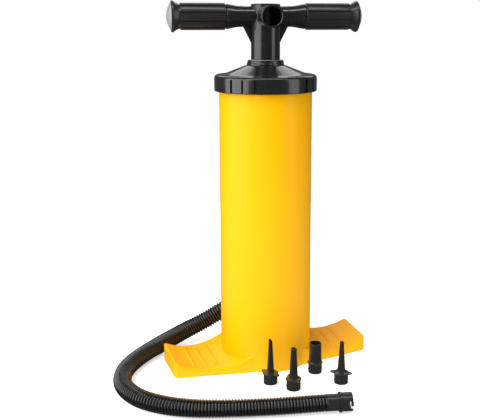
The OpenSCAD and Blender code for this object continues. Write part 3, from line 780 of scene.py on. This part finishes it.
class PUMP_OT_handle(bpy.types.Operator):
    """Makes the handle's column, arms, webs and intake port"""

    bl_idname = "pump.handle"
    bl_label = "Handle"

    def execute(self, context):
        sizes = context.scene.pump_handle
        low, top = HANDLE_LOW[2], HANDLE_HIGH[2]
        radius, bore, top_wall = sizes.column_radius, 0.0139, 0.003
        column = turned("column", [
            (bore, low), (radius - 0.0004, low), (radius, low + 0.0005), (radius, low + 0.02),
            (radius, top - 0.0008), (radius - 0.0008, top), (0.008, top), (0, top),
            (0, top - top_wall), (bore, top - top_wall), (bore, low),
        ], 96)
        right_arm, right_web = arm(sizes), gusset(sizes)
        left_arm, left_web = copy_of(right_arm, "arm_left"), copy_of(right_web, "web_left")
        place(right_arm, (0, 0, sizes.arm_height), (0, QUARTER, 0))
        place(left_arm, (0, 0, sizes.arm_height), (0, -QUARTER, 0))
        to_side(left_web, -1)
        pieces = [column, right_arm, left_arm, right_web, left_web, *intake_port(sizes)]
        piece = joined("handle_frame", pieces)
        place(piece, turn=(0, 0, sizes.turn))
        smooth(piece, 32)
        fit(piece, PLUNGER, "handle_black", "handle")
        return {"FINISHED"}


def grip(sizes):
    """A grip with raised panels round it and a flared flange at its end, along Z."""
    start, outer = sizes.grip_start, sizes.flange_radius
    flange = start + sizes.grip_length
    end = flange + FLANGE_LENGTH
    bore, panel_height, strips = 0.0091, 0.0015, 6
    root = sizes.grip_radius - panel_height
    piece = turned("grip", [
        (bore, start), (root - 0.0004, start), (root, start + 0.0006), (root, start + 0.0016),
        (root, flange - 0.0012), (root + 0.0002, flange), (root + 0.0012, flange + 0.0028),
        (outer - 0.0006, end - 0.0032), (outer, end - 0.0022), (outer, end - 0.0004),
        (outer - 0.0004, end), (outer - 0.0018, end), (outer - 0.0018, end - 0.002),
        (bore, end - 0.002), (bore, start),
    ], sizes.panels * strips)
    edit(piece)
    middle = (start + flange) / 2

    def on_a_panel(face):
        centre = face.calc_center_median()
        across = centre.xy.length
        if abs(centre.z - middle) > 0.004 or face.normal.xy.length < 0.9 or across < 0.012:
            return False
        turn = (math.atan2(centre.y, centre.x) % math.tau) / math.tau
        strip = math.floor(turn * sizes.panels * strips + 0.001)
        return strip % strips != strips - 1

    pick(piece, "FACE", on_a_panel)
    bpy.ops.mesh.extrude_region_shrink_fatten(
        TRANSFORM_OT_shrink_fatten={"value": panel_height}
    )
    done()
    soften(piece, 0.00035, 3, 34)
    return smooth(piece, 32)


class PUMP_OT_grips(bpy.types.Operator):
    """Makes both grips and the domed caps that close their ends"""

    bl_idname = "pump.grips"
    bl_label = "Grips"

    def execute(self, context):
        sizes = context.scene.pump_handle
        end = sizes.grip_start + sizes.grip_length + FLANGE_LENGTH
        dome, steps = 0.005, 12
        radius = sizes.flange_radius - 0.0019
        ball = (radius * radius + dome * dome) / (2 * dome)
        half = math.asin(radius / ball)
        rim = [(0, end - 0.0018), (radius, end - 0.0018), (radius, end - 0.0004)]
        arc = [
            (ball * math.sin(half * step / steps),
             end + dome - ball + ball * math.cos(half * step / steps))
            for step in range(steps, -1, -1)
        ]
        ribbed = grip(sizes)
        domed = smooth(turned("cap", rim + arc, 72), 32)
        for side, word, sleeve, cap in (
            (1, "right", ribbed, domed),
            (-1, "left", copy_of(ribbed, "grip"), copy_of(domed, "cap")),
        ):
            for piece in (sleeve, cap):
                place(piece, (0, 0, sizes.arm_height), (0, QUARTER * side, 0))
                place(piece, turn=(0, 0, sizes.turn))
            named(sleeve, f"ribbed_grip_{word}")
            fit(sleeve, PLUNGER, "grip_grey", f"grip_{word}")
            named(cap, f"domed_cap_{word}")
            fit(cap, PLUNGER, "grip_cap", f"grip_cap_{word}")
        return {"FINISHED"}


class PUMP_OT_rod(bpy.types.Operator):
    """Makes the hollow piston rod with the lip that holds the upper valve"""

    bl_idname = "pump.rod"
    bl_label = "Piston rod"

    def execute(self, context):
        low, top = ROD_LOW[2], ROD_HIGH[2]
        radius, tail, bore, wide_bore = 0.016, 0.0137, 0.0112, 0.0138
        collar, lip_radius = 0.020, 0.0235
        shoulder = HANDLE_LOW[2]
        disc_top = 0.0483
        lip = disc_top + 0.0038
        lip_top = lip + 0.0015
        piece = turned("hollow_rod", [
            (bore, low), (tail, low), (tail, disc_top), (collar, disc_top), (collar, lip),
            (lip_radius, lip), (lip_radius, lip_top), (radius, lip_top), (radius, 0.15),
            (radius, 0.25), (radius, shoulder), (tail, shoulder), (tail, top), (bore, top),
            (bore, shoulder - 0.004), (wide_bore, shoulder - 0.004), (wide_bore, lip_top),
            (bore, lip_top), (bore, low),
        ], 96)
        soften(piece, 0.0004, 2)
        smooth(piece, 34)
        fit(piece, PLUNGER, "rod_white", "piston_rod")
        return {"FINISHED"}


# Hose --------------------------------------------------------------------------------------


def smooth_route(points, steps=24):
    """Points close together on one smooth curve through the route."""
    route = [Vector(p) for p in points]
    # The plug holds the hose's start level
    before = Vector((2 * route[0].x - route[1].x, route[1].y, route[1].z))
    ends = [before, *route, route[-1] * 2 - route[-2]]
    line = []
    for a, b, c, d in zip(ends, ends[1:], ends[2:], ends[3:]):
        for step in range(steps):
            t = step / steps
            line.append(0.5 * ((2 * b) + (c - a) * t + (2 * a - 5 * b + 4 * c - d) * t * t
                               + (3 * b - a - 3 * c + d) * t * t * t))
    line.append(route[-1])
    return line


def evenly(line, spacing):
    """The same line with points at even distances."""
    total = sum((b - a).length for a, b in zip(line, line[1:]))
    count = max(2, round(total / spacing))
    gap = total / count
    points, done_length, target = [line[0]], 0.0, gap
    for a, b in zip(line, line[1:]):
        step = (b - a).length
        while target <= done_length + step + 1e-12 and len(points) < count:
            points.append(a.lerp(b, (target - done_length) / step))
            target += gap
        done_length += step
    points.append(line[-1])
    return points, total


def ribbed_tube(name, line, sizes, sides=28):
    """A tube whose wall runs in round ribs along the line."""
    per_rib, roundness = 6, 0.7
    start_girth, narrowing = 1.10, 0.18
    points, total = evenly(line, sizes.rib_pitch / per_rib)
    rings = []
    side = Vector((0, 1, 0))
    last = len(points) - 1
    for index, point in enumerate(points):
        # Its start is a little wider than its free end, and it lies on the floor
        girth = start_girth - narrowing * index / last
        point.z = max(point.z, girth * sizes.radius + 0.0002)
        ahead = (points[min(index + 1, last)] - points[max(index - 1, 0)]).normalized()
        side = (side - ahead * side.dot(ahead)).normalized()
        up = ahead.cross(side)
        phase = (index % per_rib) / per_rib
        swell = abs(math.sin(math.pi * phase)) ** roundness
        radius = girth * (sizes.root_radius + (sizes.radius - sizes.root_radius) * swell)
        rings.append([point + radius * (math.cos(math.tau * k / sides) * side
                                        + math.sin(math.tau * k / sides) * up)
                      for k in range(sides)])
    vertices = [v for ring in rings for v in ring]
    faces = []
    for i in range(len(rings) - 1):
        for k in range(sides):
            a, b = i * sides + k, i * sides + (k + 1) % sides
            faces.append((a, b, b + sides, a + sides))
    faces.append(tuple(range(sides))[::-1])
    faces.append(tuple((len(rings) - 1) * sides + k for k in range(sides)))
    mesh = bpy.data.meshes.new(name)
    mesh.from_pydata([tuple(v) for v in vertices], [], faces)
    mesh.update()
    piece = bpy.data.objects.new(name, mesh)
    bpy.context.collection.objects.link(piece)
    close_up(piece)
    return piece, points, total


def slot_cutter(end):
    """The hooked slot's outline in a bell that ends here along X, as one cutter along Z."""
    start, half, low, high = end - 0.0060, 0.0025, 0.0041, 0.02
    hook_end, hook_side = end - 0.0026, 0.0070
    cutter = block("slot", (start, -half, low), (hook_end, hook_side, high))
    edit(cutter)
    bpy.ops.mesh.bisect(plane_co=(0, half, 0), plane_no=(0, 1, 0))
    pick(cutter, "FACE", lambda face: face.normal.x > 0.9 and face.calc_center_median().y < half)
    bpy.ops.mesh.extrude_region_move(
        TRANSFORM_OT_translate={"value": (end + 0.001 - hook_end, 0, 0)}
    )
    bpy.ops.mesh.select_all(action="SELECT")
    bpy.ops.mesh.dissolve_limited(angle_limit=math.radians(1))
    done()
    return cutter


def free_cuff(sizes):
    """The hose's free end: a sleeve, a rim, and an open bell with two hooked slots, along X."""
    base, sleeve, bore, edge = 0.008, 0.009, 0.007, 0.0016
    rim = sizes.cuff_length
    end = rim + sizes.bell_length
    outer = sizes.bell_radius
    piece = turned("cuff", [
        (bore, 0), (base + 0.0007, 0), (sleeve, 0.0004), (sleeve, rim - edge),
        (outer + 0.001, rim - edge), (outer + 0.001, rim), (outer, rim), (outer, end),
        (sizes.bell_bore, end), (sizes.bell_bore, rim - 0.001), (bore, rim - 0.001), (bore, 0),
    ], 72)
    place(piece, turn=ALONG_X)
    cutter = slot_cutter(end)
    opposite = copy_of(cutter, "slot_opposite")
    place(cutter, turn=(SLOT_TURN, 0, 0))
    place(opposite, turn=(SLOT_TURN + math.pi, 0, 0))
    cut_with(piece, [cutter, opposite])
    smooth(piece, 32)
    return place(piece, HOSE_ROUTE[-1], (0, 0, CUFF_ANGLE))


class PUMP_OT_hose(bpy.types.Operator):
    """Makes the ribbed hose, its free cuff, its plug and the outlet socket"""

    bl_idname = "pump.hose"
    bl_label = "Hose"

    def execute(self, context):
        sizes = context.scene.pump_hose
        mouth, inner_end = SOCKET_LOW[0], SOCKET_HIGH[0]
        bore, radius, stop, stop_radius = 0.0102, 0.0123, 0.0095, 0.0145
        socket = turned("socket", [
            (bore, mouth), (radius - 0.0005, mouth), (radius, mouth + 0.0005), (radius, stop),
            (stop_radius, stop), (stop_radius, 0.012), (radius, 0.012), (radius, inner_end),
            (bore, inner_end), (bore, mouth),
        ], 72)
        start, end = PLUG_LOW[0], PLUG_HIGH[0]
        sleeve, stem, air = sizes.radius + 0.0012, 0.01005, 0.00805
        plug = turned("plug", [
            (air, start), (sleeve - 0.0006, start), (sleeve, start + 0.0008),
            (sleeve, mouth - 0.004), (radius, mouth - 0.003), (radius, mouth - 0.0002),
            (stem, mouth), (stem, end), (air, end), (air, start),
        ], 72)
        for piece, name, look, node in (
            (socket, "outlet_socket_piece", "cap_black", "outlet_socket"),
            (plug, "hose_plug_piece", "cuff_black", "hose_plug"),
        ):
            soften(piece, 0.0004, 2)
            place(piece, (0, OUTLET_Y, OUTLET_Z), ALONG_X)
            smooth(named(piece, name))
            fit(piece, BODY, look, node)

        cuff = named(free_cuff(sizes), "free_cuff")
        fit(cuff, BODY, "cuff_black", "hose_cuff")

        line = smooth_route(HOSE_ROUTE)
        piece, points, total = ribbed_tube("ribbed_hose", line, sizes)
        smooth(piece, 60)
        fit(piece, BODY, "hose_black", "hose")
        return {"FINISHED"}


# Nozzles -----------------------------------------------------------------------------------


def nozzle(sizes, name, low_radius, top_radius, height, tip_bore):
    """A loose nozzle: a cup with a flange, two ears and pegs, and a hollow spout on it."""
    base, cup, wall = sizes.base_radius, sizes.base_height, sizes.wall
    outline = [
        (base - wall, 0), (base - 0.0003, 0), (base, 0.0004), (base, cup - 0.0013),
        (base + 0.0009, cup - 0.0011), (base + 0.0009, cup - 0.0003), (base + 0.0006, cup),
        (low_radius + 0.0009, cup), (low_radius + 0.0003, cup + 0.0004), (low_radius, cup + 0.0012),
    ]
    for share in (1 / 6, 2 / 6, 3 / 6, 4 / 6, 5 / 6):
        radius = low_radius + (top_radius - low_radius) * share
        outline.append((radius, cup + (height - cup) * share))
    outline += [
        (top_radius + 0.0001, height - 0.0003), (top_radius - 0.0002, height), (tip_bore, height),
        (low_radius - wall, cup - wall), (base - wall, cup - wall), (base - wall, 0),
    ]
    body = turned(name, outline, 56)
    ear_reach, ear_width, peg_radius, peg_height = 0.0130, 0.39, 0.0011, 0.0055
    ears = round_bar("ears", ear_reach, cup - 0.0013, cup - 0.0002, 40)
    edit(ears)
    bpy.ops.transform.resize(value=(1, ear_width, 1), center_override=(0, 0, cup))
    done()
    soften(ears, 0.0004, 2)
    cut_with(ears, [round_bar("hole", low_radius, cup - 0.01, cup + 0.01, 40)])
    peg = turned("peg", [
        (0, base - 0.0006), (peg_radius, base - 0.0006), (peg_radius, base + 0.0007),
        (peg_radius - 0.0004, base + 0.0010), (0, base + 0.0010),
    ], 20)
    place(peg, (0, 0, peg_height), FORWARDS)
    peg_back = place(copy_of(peg, "peg_back"), turn=(0, 0, math.pi))
    return smooth(joined(name, [body, ears, peg, peg_back]), 34)


class PUMP_OT_nozzles(bpy.types.Operator):
    """Makes the four loose nozzles that stand beside the pump"""

    bl_idname = "pump.nozzles"
    bl_label = "Nozzles"

    def execute(self, context):
        sizes = context.scene.pump_nozzles
        kinds = (
            ("nozzle_needle", 0.0042, 0.0020, 0.0535, 0.0011, -60),
            ("nozzle_pinch", 0.0050, 0.0032, 0.0490, 0.0021, -87),
            ("nozzle_wide", 0.0075, 0.0070, 0.0365, 0.0060, -92),
            ("nozzle_slim", 0.0047, 0.0022, 0.0500, 0.0012, -36),
        )
        for node, low, top, height, bore, turn in kinds:
            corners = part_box(node)
            x, y = [(corners[0][i] + corners[1][i]) / 2 for i in (0, 1)]
            piece = nozzle(sizes, node + "_piece", low, top, height, bore)
            if node == "nozzle_needle":
                # Its tip is cut aslant
                edit(piece)
                bpy.ops.mesh.bisect(
                    plane_co=(0.0006, 0, 0.0505), plane_no=(0.7071, 0, 0.7071),
                    clear_outer=True, use_fill=False,
                )
                done()
            place(piece, (x, y, 0), (0, 0, math.radians(turn)))
            fit(piece, BODY, "nozzle_black", node)
        return {"FINISHED"}


# Inner pieces ------------------------------------------------------------------------------


class PUMP_OT_inner(bpy.types.Operator):
    """Gives the pieces inside the pump their finishes"""

    bl_idname = "pump.inner"
    bl_label = "Inner pieces"

    def execute(self, context):
        slots = {part["node"]: part["material_slot"] for part in RECORD["subparts"]}
        for node, piece in frame["nodes"].items():
            piece.data.materials.clear()
            piece.data.materials.append(MATERIALS[slots[node]])
        return {"FINISHED"}


# Stage -------------------------------------------------------------------------------------


def softbox(name, at, size, power, glossy=True):
    """A soft light, turned to the middle of the pump and itself out of the camera's sight."""
    light = bpy.data.lights.new(name, "AREA")
    light.shape = "RECTANGLE"
    light.size, light.size_y = size
    light.energy = power
    lamp = bpy.data.objects.new(name, light)
    bpy.context.collection.objects.link(lamp)
    lamp.location = at
    lamp.rotation_euler = (PUMP_MIDDLE - Vector(at)).to_track_quat("-Z", "Y").to_euler()
    lamp.visible_camera = False
    lamp.visible_glossy = glossy


class PUMP_OT_stage(bpy.types.Operator):
    """Sets the pale floor, the soft lights and the camera"""

    bl_idname = "pump.stage"
    bl_label = "Stage"

    def execute(self, context):
        scene = context.scene
        deselect_everything()
        bpy.ops.mesh.primitive_circle_add(
            vertices=96, radius=0.85, fill_type="NGON", location=(0, 0, -0.0002)
        )
        floor = named(context.active_object, "stage_floor")
        place(floor, at=floor.location)
        paper = bpy.data.materials.new("stage_paper")
        paper.use_nodes = True
        shader = paper.node_tree.nodes["Principled BSDF"]
        shader.inputs["Base Color"].default_value = (0.93, 0.93, 0.93, 1)
        shader.inputs["Roughness"].default_value = 0.9
        shader.inputs["Specular IOR Level"].default_value = 0.1
        shader.inputs["Emission Color"].default_value = WHITE
        shader.inputs["Emission Strength"].default_value = 0.55
        floor.data.materials.append(paper)
        floor.visible_glossy = False

        world = bpy.data.worlds.new("stage_world")
        scene.world = world
        world.use_nodes = True
        tree = world.node_tree
        sky = tree.nodes["Background"]
        sky.inputs["Color"].default_value = WHITE
        sky.inputs["Strength"].default_value = 0.10
        # The backdrop is seen white, and gives a softer light than it shows
        backdrop = add(tree, "ShaderNodeBackground", Color=WHITE, Strength=1.0)
        seen = add(tree, "ShaderNodeLightPath")
        either = add(tree, "ShaderNodeMixShader")
        wire(
            tree,
            (seen, "Is Camera Ray", either, "Fac"), (sky, "Background", either, 1),
            (backdrop, "Background", either, 2),
            (either, "Shader", tree.nodes["World Output"], "Surface"),
        )

        softbox("light_left", (-1.2, -0.06, 0.6), (1.5, 1.6), 13.5)
        softbox("light_right", (0.9, -0.9, 0.6), (0.6, 1.4), 3)
        softbox("light_back", (0.5, 1.2, 1.2), (1.9, 0.6), 4)
        softbox("light_above", (-0.1, -0.35, 1.5), (1.4, 0.25), 4)
        softbox("light_key", (-1.05, -1.55, 0.6), (1.3, 1.0), 9.5, glossy=False)
        softbox("light_fill", (0.6, 1.7, 0.5), (1.6, 1.0), 9, glossy=False)
        sun = bpy.data.lights.new("light_top", "SUN")
        sun.energy = 2.0
        sun.angle = math.radians(45)
        lamp = bpy.data.objects.new("light_top", sun)
        context.collection.objects.link(lamp)
        lamp.rotation_euler = (math.radians(16), math.radians(-30), 0)
        lamp.visible_glossy = False

        lens = bpy.data.cameras.new("camera")
        camera = bpy.data.objects.new("camera", lens)
        context.collection.objects.link(camera)
        camera.location = (-0.3059, -0.8508, 0.4026)
        camera.rotation_euler = (math.radians(76.44), 0, math.radians(-19.78))
        lens.sensor_width = 36
        lens.lens = 58.5
        lens.shift_x = -0.0533
        lens.dof.use_dof = False
        scene.camera = camera
        scene.view_settings.view_transform = "Standard"
        return {"FINISHED"}


# Panel and registration --------------------------------------------------------------------


class PUMP_PT_panel(bpy.types.Panel):
    bl_idname = "PUMP_PT_panel"
    bl_label = "Hand pump"
    bl_space_type = "VIEW_3D"
    bl_region_type = "UI"
    bl_category = "Hand pump"

    def draw(self, context):
        layout = self.layout
        for operator in OPERATORS:
            layout.operator(operator.bl_idname)
        for name in GROUPS:
            box = layout.box()
            group = getattr(context.scene, name)
            for prop in group.bl_rna.properties:
                if prop.identifier not in ("rna_type", "name"):
                    box.prop(group, prop.identifier)


GROUPS = {
    "pump_barrel": PumpBarrelSizes,
    "pump_cap": PumpCapSizes,
    "pump_handle": PumpHandleSizes,
    "pump_hose": PumpHoseSizes,
    "pump_nozzles": PumpNozzleSizes,
    "pump_colours": PumpColours,
}
OPERATORS = (
    PUMP_OT_stage, PUMP_OT_inner, PUMP_OT_hose, PUMP_OT_barrel, PUMP_OT_cap, PUMP_OT_rod,
    PUMP_OT_handle, PUMP_OT_grips, PUMP_OT_nozzles,
)


def register():
    for group in GROUPS.values():
        bpy.utils.register_class(group)
    for name, group in GROUPS.items():
        setattr(bpy.types.Scene, name, bpy.props.PointerProperty(type=group))
    for operator in OPERATORS:
        bpy.utils.register_class(operator)
    bpy.utils.register_class(PUMP_PT_panel)


def unregister():
    bpy.utils.unregister_class(PUMP_PT_panel)
    for operator in reversed(OPERATORS):
        bpy.utils.unregister_class(operator)
    for name, group in GROUPS.items():
        delattr(bpy.types.Scene, name)
        bpy.utils.unregister_class(group)


def main():
    register()
    make_finishes(bpy.context.scene.pump_colours)
    for operator in OPERATORS:
        family, name = operator.bl_idname.split(".")
        getattr(getattr(bpy.ops, family), name)()


if __name__ == "__main__":
    main()
